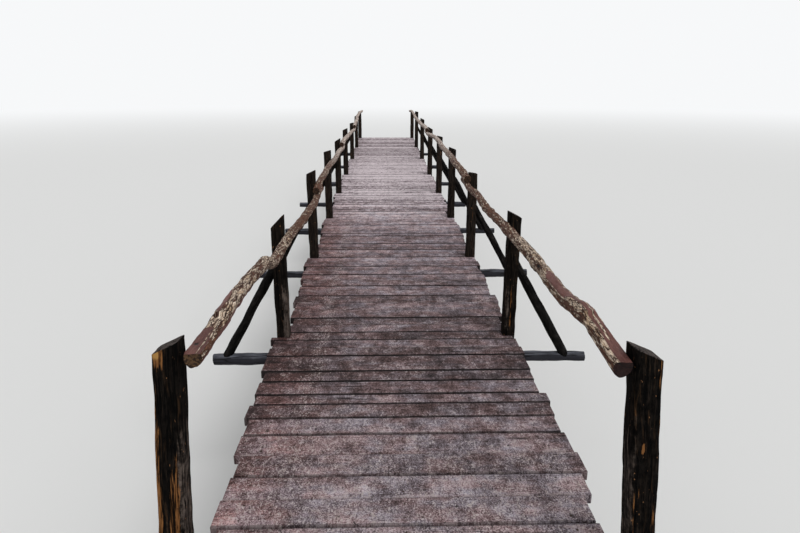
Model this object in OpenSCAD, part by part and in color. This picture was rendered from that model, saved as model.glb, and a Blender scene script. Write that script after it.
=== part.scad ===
// Timber footbridge: a plank deck on log stringers, round crossbeams and driven piles,
// with hewn posts, raking braces and crooked peeled poles as hand rails.
// Millimetres. X runs across the bridge, Y along it from the near to the far end, Z up.
// Origin: ground level under the middle of the bridge.

/* [Span] */
// Bay 1, post to post, at the near end
bay_1 = 2300; // [1800:10:3200]
// Bay 2, post to post
bay_2 = 2150; // [1800:10:3200]
// Bay 3, post to post
bay_3 = 2000; // [1800:10:3200]
// Bay 4, post to post
bay_4 = 1950; // [1800:10:3200]
// Bay 5, post to post
bay_5 = 2150; // [1800:10:3200]
// Bay 6, post to post
bay_6 = 2600; // [1800:10:3200]
// Bay 7, post to post
bay_7 = 2650; // [1800:10:3200]
// Bay 8, post to post, at the far end
bay_8 = 2950; // [1800:10:3200]
// Top of the deck above ground level
deck_top = 1300; // [900:10:2400]

/* [Deck] */
// Thickness of the planks
plank_t = 50; // [35:1:70]
// Average width of a plank
plank_w = 162; // [130:1:240]
// Open joint between two planks
open_joint = 9; // [5:0.5:15]
// Closed joint between two planks
closed_joint = 2; // [1:0.5:4]
// Average reach of a plank beyond the line of the posts
plank_reach = 20; // [10:1:40]
// How far the left plank ends fan out along a bay
plank_flare = 100; // [0:1:110]
// How much the right plank ends stand back just beyond a post
plank_setback = 55; // [0:1:70]
// One step of the uneven plank ends
plank_ragged = 3; // [0:0.5:5]
// Reach of the deck beyond the last pair of posts
deck_end = 160; // [100:1:300]

/* [Railing] */
// Distance between the two rows of posts, centre to centre
post_spacing = 1690; // [1400:10:2200]
// Side of a squared post
post_w = 88; // [70:1:130]
// Side of the stouter posts at the two ends of the bridge
end_post_w = 102; // [80:1:140]
// Width of the hewn flat on each arris of a post
post_chamfer = 14; // [6:1:24]
// Height of the lowest post top above the deck
post_h = 860; // [800:5:1200]
// One step of the uneven post heights
post_ragged = 5; // [0:1:8]
// One step of the lean of a post, foot outwards, to a metre of height
post_lean = 6; // [0:0.5:8]
// Fall of a post top towards its outer side
post_top_fall = 42; // [0:1:60]
// Fall of a post top towards the far end
post_top_back = 20; // [0:1:30]
// Radius of a rail pole at its thick end
rail_r = 33; // [27:0.5:45]
// Radius of a rail pole at its thin end
rail_tip_r = 25; // [20:0.5:36]
// Level of the rail line below the lowest post top
rail_drop = 10; // [0:1:80]
// One step of the bends in the rails
rail_bend = 10; // [0:0.5:12]
// Length of the hewn flat on the near end of a rail
rail_flat = 420; // [200:10:600]

/* [Braces] */
// Radius of a brace at its foot
brace_r = 31; // [26:0.5:36]
// Radius of a brace at its head
brace_tip_r = 28; // [23:0.5:32]
// Height of a brace head above the deck, on the outer face of the post
brace_head = 520; // [350:10:650]
// Distance of a brace foot from the line of the posts
brace_foot = 450; // [350:10:540]

/* [Substructure] */
// Radius of a crossbeam at its thick end
beam_r = 40; // [34:0.5:56]
// Radius of a crossbeam at its thin end
beam_tip_r = 33; // [29:0.5:52]
// Reach of a crossbeam beyond the line of the posts, where it carries a brace
beam_reach = 600; // [580:10:900]
// Reach of the two end crossbeams beyond the line of the posts
end_beam_reach = 180; // [120:10:400]
// One step of the uneven crossbeam ends
beam_ragged = 10; // [0:1:12]
// Radius of a stringer log
stringer_r = 70; // [55:1:90]
// Depth of a stringer log, flat on top
stringer_d = 128; // [105:1:140]
// Depth of the saddle cut in a stringer over a crossbeam
saddle_d = 20; // [8:1:30]
// Radius of a pile
pile_r = 85; // [60:1:110]
// Distance between the two piles of a pair, centre to centre
pile_spacing = 1200; // [900:10:1500]

/* [Hidden] */

left = -1;
right = 1;
$fn = 48;

// Clearance between two pieces that are fastened together
fit = 0.3;
// Clearance of a plank round a post
post_fit = 6;
// Gap between two logs that butt over a crossbeam
butt_gap = 4;
// Long enough to cut right through any piece
through = 3000;

bays = [bay_1, bay_2, bay_3, bay_4, bay_5, bay_6, bay_7, bay_8];
bents = len(bays) + 1;

function sum_to(list, count) = count <= 0 ? 0 : list[count - 1] + sum_to(list, count - 1);
span = sum_to(bays, len(bays));
// Place of a pair of posts along the bridge, numbered from 1 at the near end
function bent_y(bent) = sum_to(bays, bent - 1) - span / 2;

plank_bottom = deck_top - plank_t;
stringer_bottom = plank_bottom - stringer_d;
beam_z = stringer_bottom + saddle_d - beam_r;
row_x = post_spacing / 2;
post_face = row_x - post_w / 2;
post_outer = row_x + post_w / 2;
function post_side(bent) = bent == 1 || bent == bents ? end_post_w : post_w;
// Posts of both sizes have their inner faces in one line
function post_x(bent) = post_face + post_side(bent) / 2;
stringer_x = post_face - stringer_r - fit;
rail_line = deck_top + post_h - rail_drop;

// Widths of the planks as shares of the average, in the order that they were laid
plank_mix = [
    1.10, 1.06, 1.13, 1.04, 1.08, 1.17, 1.05, 0.97, 0.69, 1.07, 0.86, 1.48, 0.80, 0.87, 0.88,
    0.90, 0.90, 1.12, 1.05, 1.12, 0.81, 0.81, 1.09, 1.09, 0.84, 0.84, 1.05, 1.05, 0.90,
    0.96, 0.84, 0.83, 1.12, 1.13, 0.80, 0.85, 1.02, 1.03, 1.01, 1.02
];
// Joint behind each of these planks: 1 open, 0 closed
joint_mix = [
    0, 1, 0, 1, 0, 1, 1, 1, 1, 1, 1, 1, 0, 1, 1,
    0, 1, 0, 0, 1, 0, 1, 0, 1, 0, 1, 0, 1, 0,
    1, 0, 1, 0, 1, 1, 0, 0, 1, 0, 0
];
// Plank ends on each side, in steps in or out
left_ends = [2, -4, 5, 0, -6, 4, -1, 7, -2, 1, -5, 3];
right_ends = [-1, 4, 0, -5, 7, 2, -3, 1, 6, -7, -4];
// Stretch beyond a post where the right plank ends stand back
setback_len = 330;
// Crossbeam ends, left and right, in steps past the usual reach
beam_ends = [[0, 0], [-6, 0], [0, 3], [2, 2], [7, -14], [0, 2], [3, 1], [-2, 7], [0, 0]];
// Post tops, left and right, in steps above the lowest one
post_tops = [[22, 13], [13, 17], [16, 11], [14, 22], [11, 19], [12, 17], [0, 21], [8, 27], [3, 1]];

// Lean of each post, left and right, in steps: only the near pair leans
post_leans = [[11, 13], [0, 0], [0, 0], [0, 0], [0, 0], [0, 0], [0, 0], [0, 0], [0, 0]];

// How steep each post top is, left and right, as a share of the usual fall
post_slants = [
    [1.2, 1.05], [2.2, 1.1], [1, 0.35], [0.6, 0.8], [1.3, 0.5], [0.9, 1.2], [0.5, 1], [1.1, 0.4], [0.8, 0.7]
];

// Bends of the rails in steps, at each pair of posts and a third and two thirds along each bay:
// up and down from the rail line, and in from the posts towards the walkway
rise_left = [
    -0.7, -1.8, -8.3, -9.5, -11.3, -13.8, -10.4, -6.7, -3.3, -7.5, -8.6, -5.6, -6,
    -1.3, -3.5, -6.2, -8.4, -10.3, -9, 2, 5.5, 6.9, 7, 4, 1
];
rise_right = [
    0.2, 0.8, 0.3, -1.6, -2.2, -2.8, -1.5, 4.6, 6.1, 5, 6.3, 7, 6.8,
    4.3, 0.9, 1.5, 4.7, 3.9, 2.8, 1.4, 3.2, 6.1, 9, 6, 1
];
drift_left = [
    1.5, 1.2, 0.4, 0, 2.2, 1.4, 0, -0.8, 1.4, 0, -1, 1.2, 0,
    1.8, 0.8, 0, -1, 1.6, 0, 2, -0.8, 0, 1.2, 1.6, 0
];
drift_right = [
    0.5, 1.4, -0.6, 0, 1.8, -0.8, 0, 2, 1, 0, 1.4, -0.8, 0,
    1.4, -1, 0, 1.2, 1.8, 0, -1, 1.4, 0, 1.6, -0.8, 0
];
// Poles of a rail: first and last place in thirds of a bay, how the near and the far end are
// lapped, in pole widths up or down, and the taper: 0 with the thick end near, 1 with the thin
// end near, 0.5 for an even pole
poles_left = [
    [0, 6.25, 0, -0.5, 0.5],
    [5.6, 12.3, 0.5, -0.5, 0.5],
    [11.7, 18.3, 0.5, -0.5, 0],
    [17.7, 24, 0.5, 0, 0]
];
poles_right = [
    [0, 6.25, 0, -0.5, 0],
    [5.75, 15.3, 0.5, -0.5, 0],
    [14.7, 24, 0.5, 0, 0]
];
// Elbow in the first pole on the left: place in thirds of a bay and drop in steps
elbow_at = 1.95;
elbow_drop = 6;
elbow_len = 0.3;
// Hump in the first pole on the right: its middle and length in thirds of a bay, and its height
// in steps
hump_at = 0.45;
hump_len = 0.95;
hump_rise = 4;
// Sides of a rail pole, rings in each third of a bay, and reach of a rail past its end posts
pole_sides = 12;
pole_steps = 6;
pole_end = 50;
// Stretch over which a lapped pole comes back to its line, in thirds of a bay
lap_ease = 1;
// Knots: every so many rings the pole swells by this share of its radius
knot_every = 7;
knot_swell = 0.09;
// Share of the radius that is left above the centre line on a hewn flat
flat_share = 0.62;

// Shares that add up to the whole deck, laid from the near end
deck_len = span + 2 * deck_end;
plank_count = round(deck_len / plank_w);
plank_shares = [for (i = [0 : plank_count - 1]) plank_mix[i % len(plank_mix)]];
plank_unit = deck_len / sum_to(plank_shares, plank_count);
function plank_start(i) = plank_unit * sum_to(plank_shares, i) - deck_len / 2;
function joint_after(i) = joint_mix[i % len(joint_mix)] == 1 ? open_joint : closed_joint;

module deck_bay(bay) {
    start = bay == 1 ? -deck_len / 2 : bent_y(bay);
    end = bay == len(bays) ? deck_len / 2 : bent_y(bay + 1);
    color("#6b5752")
        for (i = [0 : plank_count - 1]) {
            middle = (plank_start(i) + plank_start(i + 1)) / 2;
            along = max(0, middle - bent_y(bay));
            flare = plank_flare * (along / bays[bay - 1] - 0.5);
            setback = plank_setback * (along > 0 && along < setback_len ? 0.7 : -0.3);
            if (middle >= start && middle < end)
                plank(i, flare, setback);
        }
}

// One plank, notched where it meets a post
module plank(i, flare, setback) {
    near = plank_start(i) + (i == 0 ? 0 : joint_after(i - 1) / 2);
    far = plank_start(i + 1) - (i == plank_count - 1 ? 0 : joint_after(i) / 2);
    left_reach = plank_reach + flare + plank_ragged * left_ends[i % len(left_ends)];
    right_reach = plank_reach - setback + plank_ragged * right_ends[i % len(right_ends)];
    difference() {
        translate([-row_x - left_reach, near, plank_bottom])
            cube([post_spacing + left_reach + right_reach, far - near, plank_t]);
        for (bent = [1 : bents]) {
            room = post_side(bent) / 2 + post_fit;
            if (near - bent_y(bent) < room && bent_y(bent) - far < room)
                for (side = [left, right])
                    post_notch(bent, side);
        }
    }
}

// The notch for a post is open to the edge of the deck
module post_notch(bent, side) {
    notch_x = post_face + foot_out(bent, side, deck_top) - post_fit;
    notch_w = post_side(bent) + 2 * post_fit;
    translate([side < 0 ? -notch_x - through : notch_x, bent_y(bent) - notch_w / 2, 0])
        cube([through, notch_w, through]);
}

// A row of logs, one to a bay, butted over the crossbeams
module stringer(x) {
    color("#4a3f38")
        for (bay = [1 : len(bays)]) {
            start = bent_y(bay) + (bay == 1 ? -deck_end : butt_gap / 2);
            end = bent_y(bay + 1) + (bay == len(bays) ? deck_end : -butt_gap / 2);
            difference() {
                translate([x, start, stringer_bottom + stringer_r])
                    rotate([-90, 0, 0])
                        cylinder(r = stringer_r, h = end - start);
                translate([x - stringer_r, start - fit, plank_bottom])
                    cube([2 * stringer_r, end - start + 2 * fit, 2 * stringer_r]);
                for (bent = [bay, bay + 1])
                    beam_shape(bent, fit);
            }
        }
}

// A tapered pole across the bridge, thick ends left and right by turns;
// with spare it cuts the seats of what rests on it
module beam_shape(bent, spare = 0) {
    reach = bent == 1 || bent == bents ? end_beam_reach : beam_reach;
    low_x = -row_x - reach - beam_ragged * beam_ends[bent - 1][0];
    high_x = row_x + reach + beam_ragged * beam_ends[bent - 1][1];
    thick_left = bent % 2 == 0;
    translate([low_x, bent_y(bent), beam_z])
        rotate([0, 90, 0])
            cylinder(
                r1 = (thick_left ? beam_r : beam_tip_r) + spare,
                r2 = (thick_left ? beam_tip_r : beam_r) + spare,
                h = high_x - low_x
            );
}

module crossbeam(bent) {
    color("#3f4046") beam_shape(bent);
}

// Round piles, cupped at the head to hold the crossbeam
module piles(side) {
    color("#3a342e")
        for (bent = [1 : bents])
            difference() {
                translate([side * pile_spacing / 2, bent_y(bent), 0])
                    cylinder(r = pile_r, h = beam_z - fit);
                beam_shape(bent, fit);
            }
}

function post_top(bent, side) =
    deck_top + post_h + post_ragged * post_tops[bent - 1][side == left ? 0 : 1];
function lean_share(bent, side) = post_lean * post_leans[bent - 1][side == left ? 0 : 1] / 1000;
// How far a leaning post stands out at some height
function foot_out(bent, side, z) = (post_top(bent, side) - z) * lean_share(bent, side);

// A squared post with hewn arrises, forked over the crossbeam and cut to a slant on top
module post(bent, side) {
    width = post_side(bent);
    top = post_top(bent, side);
    fall = post_top_fall * post_slants[bent - 1][side == left ? 0 : 1];
    length = top - beam_z;
    translate([side * post_x(bent), bent_y(bent), 0])
        difference() {
            translate([0, 0, top])
                rotate([0, -side * atan(lean_share(bent, side)), 0])
                    translate([0, 0, -length])
                        linear_extrude(height = length + width / 2)
                            post_outline(width);
            translate([-side * width / 2, -width / 2, top])
                rotate([-atan(post_top_back / width), side * atan(fall / width), 0])
                    translate([-through / 2, -through / 2, 0])
                        cube(through);
            translate([-side * post_x(bent), -bent_y(bent), 0])
                beam_shape(bent, fit);
        }
}

module post_outline(width) {
    a = width / 2;
    b = a - post_chamfer;
    polygon([[-a, -b], [-b, -a], [b, -a], [a, -b], [a, b], [b, a], [-b, a], [-a, b]]);
}

module posts(bent) {
    color("#2b2320") for (side = [left, right]) post(bent, side);
}

// A raking pole, seated on the crossbeam and cut to lie against the outer face of the post
module brace(bent, side) {
    foot = [side * (row_x + brace_foot), beam_z];
    head = [side * post_outer, deck_top + brace_head];
    rake = head - foot;
    difference() {
        translate([foot[0], bent_y(bent), foot[1]])
            rotate([0, atan2(rake[0], rake[1]), 0])
                cylinder(r1 = brace_r, r2 = brace_tip_r, h = norm(rake) + brace_r);
        beam_shape(bent, fit);
        translate([side * (post_outer + fit - through / 2), bent_y(bent), deck_top])
            cube(through, center = true);
        translate([foot[0], bent_y(bent), beam_z - through / 2])
            cube(through, center = true);
    }
}

module braces(bent) {
    color("#26211f") for (side = [left, right]) brace(bent, side);
}

// Place along a rail, counted in thirds of a bay from the near posts
function third_y(third) =
    let (bay = min(floor(third / 3), len(bays) - 1))
    bent_y(bay + 1) + (third / 3 - bay) * bays[bay];

// A smooth curve through the values of a list
function eased(list, at) =
    let (
        i = min(floor(at), len(list) - 2),
        t = at - i,
        a = list[max(i - 1, 0)],
        b = list[i],
        c = list[i + 1],
        d = list[min(i + 2, len(list) - 1)]
    )
    b + t * ((c - a) / 2 + t * (a - 2.5 * b + 2 * c - d / 2 + t * (1.5 * (b - c) + (d - a) / 2)));

// From 0 to 1 with a soft start and end
function ramp(t) = let (u = min(max(t, 0), 1)) u * u * (3 - 2 * u);

// From 0 to 1 and back to 0 with soft ends
function hump(t) = 4 * ramp(t) * (1 - ramp(t));

// How much of a lap is left, from 1 at the joint to 0 where the pole is back on its line
function lap_share(distance, joint) = 1 - ramp((distance - joint) / lap_ease);

// Radius along a pole, with a swelling at every knot
function pole_radius(share, ring) =
    (rail_r + (rail_tip_r - rail_r) * share) * (ring % knot_every == 3 ? 1 + knot_swell : 1);

// A crooked tapered pole, swept along its rail; neighbours lap over each other
module rail_pole(poles, index, rises, drifts, side) {
    pole = poles[index];
    first = pole[0];
    last = pole[1];
    rings = round((last - first) * pole_steps);
    near_lap = index == 0 ? 0 : poles[index - 1][1] - first;
    far_lap = index == len(poles) - 1 ? 0 : last - poles[index + 1][0];
    lap_size = 2 * rail_r * (1 + knot_swell) + fit;
    path = [
        for (ring = [0 : rings])
            let (
                at = first + (last - first) * ring / rings,
                share = pole[4] + (1 - 2 * pole[4]) * ring / rings,
                r = pole_radius(share, ring),
                near_part = pole[2] * lap_share(at - first, near_lap),
                far_part = pole[3] * lap_share(last - at, far_lap),
                lap = lap_size * (near_part + far_part),
                bent_part = 1 - ramp((at - elbow_at) / elbow_len + 0.5),
                raised = hump_rise * hump((at - hump_at) / hump_len + 0.5),
                crook = index > 0 ? 0 : side == left ? elbow_drop * bent_part : raised,
                past_near = index == 0 && ring == 0 ? -pole_end : 0,
                past_far = index == len(poles) - 1 && ring == rings ? pole_end : 0
            )
            [
                side * (post_face - fit - r - rail_bend * max(eased(drifts, at), 0)),
                third_y(at) + past_near + past_far,
                rail_line + rail_bend * (eased(rises, at) + crook) + lap,
                r
            ]
    ];
    points = [
        for (ring = path, k = [0 : pole_sides - 1])
            let (
                angle = 360 * k / pole_sides,
                hewn = index == 0 && ring[1] - path[0][1] < rail_flat,
                up = hewn ? min(sin(angle), flat_share) : sin(angle)
            )
            [ring[0] + ring[3] * cos(angle), ring[1], ring[2] + ring[3] * up]
    ];
    walls = [
        for (i = [0 : rings - 1], k = [0 : pole_sides - 1])
            let (
                next = (k + 1) % pole_sides,
                a = i * pole_sides + k,
                b = i * pole_sides + next
            )
            each [[a, b, a + pole_sides], [b, b + pole_sides, a + pole_sides]]
    ];
    caps = [
        [for (k = [0 : pole_sides - 1]) pole_sides - 1 - k],
        [for (k = [0 : pole_sides - 1]) rings * pole_sides + k]
    ];
    color("#8a5a45") polyhedron(points, concat(walls, caps), convexity = 6);
}

module rail_left(index) {
    rail_pole(poles_left, index, rise_left, drift_left, left);
}

module rail_right(index) {
    rail_pole(poles_right, index, rise_right, drift_right, right);
}

for (bay = [1 : len(bays)])
    deck_bay(bay);
stringer(-stringer_x);  // stringer_left
stringer(0);  // stringer_middle
stringer(stringer_x);  // stringer_right
for (bent = [1 : bents])
    crossbeam(bent);
piles(left);  // piles_left
piles(right);  // piles_right
for (bent = [1 : bents])
    posts(bent);
for (bent = [2 : bents - 1])
    braces(bent);
for (index = [0 : len(poles_left) - 1])
    rail_left(index);
for (index = [0 : len(poles_right) - 1])
    rail_right(index);
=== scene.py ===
import math
import random
import bpy
import numpy as np
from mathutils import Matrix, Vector


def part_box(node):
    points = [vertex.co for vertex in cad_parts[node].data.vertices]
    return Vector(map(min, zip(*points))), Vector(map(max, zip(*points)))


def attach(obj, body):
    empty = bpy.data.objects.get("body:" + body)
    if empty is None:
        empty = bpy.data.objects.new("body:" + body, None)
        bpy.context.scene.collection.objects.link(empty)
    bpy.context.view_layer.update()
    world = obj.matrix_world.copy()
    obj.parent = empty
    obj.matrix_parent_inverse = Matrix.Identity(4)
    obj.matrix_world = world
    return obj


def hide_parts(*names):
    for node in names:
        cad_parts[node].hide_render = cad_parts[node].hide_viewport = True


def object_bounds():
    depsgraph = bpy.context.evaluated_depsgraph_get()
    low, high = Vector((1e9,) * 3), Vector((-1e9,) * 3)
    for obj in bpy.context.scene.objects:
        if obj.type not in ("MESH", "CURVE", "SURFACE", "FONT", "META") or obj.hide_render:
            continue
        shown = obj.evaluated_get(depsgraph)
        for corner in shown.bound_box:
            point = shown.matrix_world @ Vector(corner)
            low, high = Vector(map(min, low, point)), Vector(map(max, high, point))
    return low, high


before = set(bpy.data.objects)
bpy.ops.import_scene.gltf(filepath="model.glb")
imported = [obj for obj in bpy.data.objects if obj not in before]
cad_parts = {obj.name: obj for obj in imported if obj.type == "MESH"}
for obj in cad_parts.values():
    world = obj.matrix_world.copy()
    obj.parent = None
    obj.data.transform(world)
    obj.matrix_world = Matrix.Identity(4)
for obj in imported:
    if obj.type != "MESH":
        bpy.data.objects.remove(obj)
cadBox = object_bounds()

scene = bpy.context.scene
print("frame loaded:", len(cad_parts), "pieces of the bridge")

# Camera, floor and light

view = {
    "place": (-0.0896, -11.425, 3.137),   # eye height, 1.84 m above the deck
    "turn": (73.28, -0.1, -1.5),          # degrees
    "lens": 28,
    "far": 500,
}


def radians(degrees):
    return [math.radians(angle) for angle in degrees]


bpy.ops.object.camera_add(location=view["place"], rotation=radians(view["turn"]))
camera = bpy.context.object
camera.name = "eyeOnTheDeck"
camera.data.lens = view["lens"]
camera.data.clip_end = view["far"]
scene.camera = camera

studio = {
    "floorSize": 400,
    "fade": (14.0, 70.0),
    "floorColour": (0.80, 0.80, 0.79, 1),
    "skyColour": (0.93, 0.94, 0.95, 1),
    "skyLight": 0.55,
    "sunLight": 1.55,
    "sunSpread": 35,
    "sunTurn": (38, 12, 20),
}

scene.view_settings.view_transform = "Standard"


class Value:
    # a node's output that takes part in plain sums
    def __init__(self, shader, socket):
        self.shader = shader
        self.socket = socket

    def __add__(self, other):
        return self.shader.maths("ADD", self, other)

    def __radd__(self, other):
        return self.shader.maths("ADD", other, self)

    def __sub__(self, other):
        return self.shader.maths("SUBTRACT", self, other)

    def __rsub__(self, other):
        return self.shader.maths("SUBTRACT", other, self)

    def __mul__(self, other):
        return self.shader.maths("MULTIPLY", self, other)

    def __abs__(self):
        return self.shader.maths("ABSOLUTE", self)


class Shader:
    def __init__(self, name):
        self.material = bpy.data.materials.new(name)
        self.material.use_nodes = True
        self.tree = self.material.node_tree
        self.surface = self.tree.nodes["Principled BSDF"]
        self.output = self.tree.nodes["Material Output"]

    def add(self, kind, settings=None, inputs=None, output=0):
        node = self.tree.nodes.new(kind)
        for name, value in (settings or {}).items():
            if name == "stops":
                ramp = node.color_ramp
                while len(ramp.elements) < len(value):
                    ramp.elements.new(0.5)
                for element, (place, colour) in zip(ramp.elements, value):
                    element.position = place
                    element.color = (*colour, 1)
            else:
                setattr(node, name, value)
        for name, value in (inputs or {}).items():
            self.feed(node.inputs[name], value)
        return Value(self, node.outputs[output])

    def feed(self, socket, value):
        if isinstance(value, Value):
            self.tree.links.new(value.socket, socket)
        elif isinstance(value, tuple) and len(value) == 3 and socket.type == "RGBA":
            socket.default_value = (*value, 1)
        else:
            socket.default_value = value

    def place(self):
        return self.add("ShaderNodeTexCoord", output="Object")

    def mark(self, name):
        return self.add("ShaderNodeAttribute", {"attribute_name": name}, output="Fac")

    def maths(self, operation, *values):
        return self.add("ShaderNodeMath", {"operation": operation}, dict(enumerate(values)))

    def axis(self, vector, number):
        return self.add("ShaderNodeSeparateXYZ", {}, {"Vector": vector}, number)

    def upward(self):
        # 1 where the surface faces the sky, -1 where it faces the ground
        return self.axis(self.add("ShaderNodeTexCoord", output="Normal"), 2)

    def sheet(self):
        return self.add("ShaderNodeUVMap", {"uv_map": "UVMap"})

    def whole(self, x, y, z):
        return self.add("ShaderNodeCombineXYZ", {}, {0: x, 1: y, 2: z})

    def spread(self, place, scale, move=(0, 0)):
        return self.add("ShaderNodeMapping", {}, {
            "Vector": place, "Location": (*move, 0), "Scale": (*scale, 1)})

    def noise(self, place, scale, detail=4.0, roughness=0.55, twist=0.0):
        return self.add("ShaderNodeTexNoise", {}, {
            "Vector": place, "Scale": scale, "Detail": detail, "Roughness": roughness, "Distortion": twist})

    def grain(self, place, scale, *character, move=(0, 0)):
        # noise with a scale of its own in each direction
        return self.noise(self.spread(place, scale, move), 1.0, *character)

    def cells(self, place, output="Distance", feature="F1"):
        return self.add("ShaderNodeTexVoronoi", {"feature": feature}, {"Vector": place, "Scale": 1.0}, output)

    def step(self, value, low, high):
        return self.add("ShaderNodeMapRange", {"interpolation_type": "SMOOTHSTEP"}, {
            "Value": value, "From Min": low, "From Max": high})

    def blend(self, factor, first, second, mode="MIX"):
        return self.add("ShaderNodeMix", {"data_type": "RGBA", "blend_type": mode}, {
            0: factor, 6: first, 7: second}, output=2)

    def line(self, value, low, high):
        # 1 where the value is close to nothing
        return 1 - self.step(abs(value), low, high)

    def finish(self, **sockets):
        for name, value in sockets.items():
            self.feed(self.surface.inputs[name.replace("_", " ")], value)
        return self.material

    def coat(self, look, base, rough, height):
        bump = self.add("ShaderNodeBump", {}, {"Height": height, "Distance": look["depth"], "Strength": 1.0})
        return self.finish(Base_Color=base, Roughness=rough, Normal=bump, Specular_IOR_Level=look["shine"])


def makeStage():
    # the floor turns into plain background far from the bridge, so no horizon shows
    floor = Shader("paleFloor")
    floor.finish(Base_Color=studio["floorColour"], Roughness=0.9, Specular_IOR_Level=0.1)
    away = floor.add("ShaderNodeVectorMath", {"operation": "LENGTH"}, {0: floor.place()}, output=1)
    glow = floor.add("ShaderNodeEmission", {}, {"Color": studio["skyColour"], "Strength": 1.0})
    both = floor.add("ShaderNodeMixShader", {}, {
        0: floor.step(away, *studio["fade"]), 1: Value(floor, floor.surface.outputs[0]), 2: glow})
    floor.feed(floor.output.inputs["Surface"], both)
    bpy.ops.mesh.primitive_plane_add(size=studio["floorSize"], location=(0, 0, 0))
    ground = bpy.context.object
    ground.name = "studioFloor"
    ground.data.materials.append(floor.material)
    bpy.ops.object.light_add(type="SUN", rotation=radians(studio["sunTurn"]))
    sun = bpy.context.object
    sun.name = "softSun"
    sun.data.energy = studio["sunLight"]
    sun.data.angle = math.radians(studio["sunSpread"])
    world = bpy.data.worlds.new("studioSky")
    world.use_nodes = True
    scene.world = world
    tree = world.node_tree
    back = tree.nodes["Background"]
    rays = tree.nodes.new("ShaderNodeLightPath")
    seen = tree.nodes.new("ShaderNodeMath")
    seen.operation = "MAXIMUM"
    tree.links.new(rays.outputs["Is Camera Ray"], seen.inputs[0])
    tree.links.new(rays.outputs["Is Transmission Ray"], seen.inputs[1])
    level = tree.nodes.new("ShaderNodeMapRange")
    level.inputs["To Min"].default_value = studio["skyLight"]
    level.inputs["To Max"].default_value = 1.0
    tree.links.new(seen.outputs[0], level.inputs["Value"])
    tree.links.new(level.outputs[0], back.inputs["Strength"])
    back.inputs["Color"].default_value = studio["skyColour"]


makeStage()
print("camera, floor and light set")

# Tools of the bench


def only(piece):
    bpy.ops.object.select_all(action="DESELECT")
    piece.select_set(True)
    bpy.context.view_layer.objects.active = piece


def enter(piece):
    # edit mode with the whole piece selected
    only(piece)
    bpy.ops.object.mode_set(mode="EDIT")
    bpy.ops.mesh.select_all(action="SELECT")


def leave():
    bpy.ops.object.mode_set(mode="OBJECT")


def pick(piece, kind, test):
    # leaves the piece in edit mode with the parts that pass the test selected
    only(piece)
    bpy.ops.object.mode_set(mode="EDIT")
    bpy.ops.mesh.select_mode(type=kind)
    bpy.ops.mesh.select_all(action="DESELECT")
    leave()
    mesh = piece.data
    parts = {"VERT": mesh.vertices, "EDGE": mesh.edges, "FACE": mesh.polygons}[kind]
    for part in parts:
        part.select = bool(test(mesh, part))
    bpy.ops.object.mode_set(mode="EDIT")


def fresh(add, **options):
    # a new shape, the only one selected
    bpy.ops.object.select_all(action="DESELECT")
    add(**options)
    return bpy.context.object


def change(piece, kind, helper, **settings):
    # applies one of Blender's modifiers, then removes the helper that guided it
    only(piece)
    bpy.ops.object.modifier_add(type=kind)
    modifier = piece.modifiers[-1]
    for name, value in settings.items():
        setattr(modifier, name, value)
    bpy.context.view_layer.update()
    bpy.ops.object.modifier_apply(modifier=modifier.name)
    bpy.data.objects.remove(helper)


def settle(piece):
    only(piece)
    bpy.ops.object.transform_apply(location=True, rotation=True, scale=True)


def along(axis, least):
    # edges that run along an axis for at least this length
    def test(mesh, edge):
        a, b = (mesh.vertices[i].co for i in edge.vertices)
        return abs(a[axis] - b[axis]) > least and (a - b).length < abs(a[axis] - b[axis]) * 1.02
    return test


def cutAcross(piece, axis, least, cuts):
    pick(piece, "EDGE", along(axis, least))
    bpy.ops.mesh.subdivide(number_cuts=cuts)
    leave()


def squash(piece, test, axis, level, share=0):
    # brings the corners that pass the test to a level, or to a share of their distance from it
    pick(piece, "VERT", test)
    bpy.ops.transform.resize(value=[share if i == axis else 1 for i in range(3)], center_override=[level] * 3)
    leave()


def pressFlat(piece, axis, level, above):
    # whatever stands out past a level is pushed back onto it
    squash(piece, lambda mesh, v: (v.co[axis] > level) == above, axis, level)


def anywhere(dice):
    # a start for the clouds that differs from piece to piece
    return (dice.uniform(-9, 9), dice.uniform(-9, 9), dice.uniform(-9, 9))


def relief(piece, size, depth, stretch, move, direction="NORMAL", middle=0.3, **extra):
    # pushes the surface in and out with Blender's clouds
    pattern = bpy.data.textures.new("pattern", "CLOUDS")
    for name, value in {"noise_scale": size, **extra}.items():
        setattr(pattern, name, value)
    bpy.ops.object.empty_add(location=move)
    guide = bpy.context.object
    guide.scale = stretch
    change(piece, "DISPLACE", guide, texture=pattern, texture_coords="OBJECT", texture_coords_object=guide,
           strength=depth, mid_level=middle, direction=direction)
    bpy.data.textures.remove(pattern)


def readAll(parts, name, width=1, kind=float):
    # one property of all the corners, faces or edges of a mesh
    found = np.empty(len(parts) * width, dtype=kind)
    parts.foreach_get(name, found)
    return found.reshape(-1, width) if width > 1 else found


def points(mesh):
    return readAll(mesh.vertices, "co", 3)


def uvLayer(mesh):
    return mesh.uv_layers[0] if mesh.uv_layers else mesh.uv_layers.new(name="UVMap")


def setMark(piece, name, value, kind="FACE"):
    # a number, or one for each face or point, that the finish reads
    mesh = piece.data
    mark = mesh.attributes.get(name) or mesh.attributes.new(name, "FLOAT", kind)
    count = len(mesh.polygons if kind == "FACE" else mesh.vertices)
    mark.data.foreach_set("value", np.full(count, value, dtype=float))


def endsOf(corners):
    return corners.min(axis=0), corners.max(axis=0)


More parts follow.
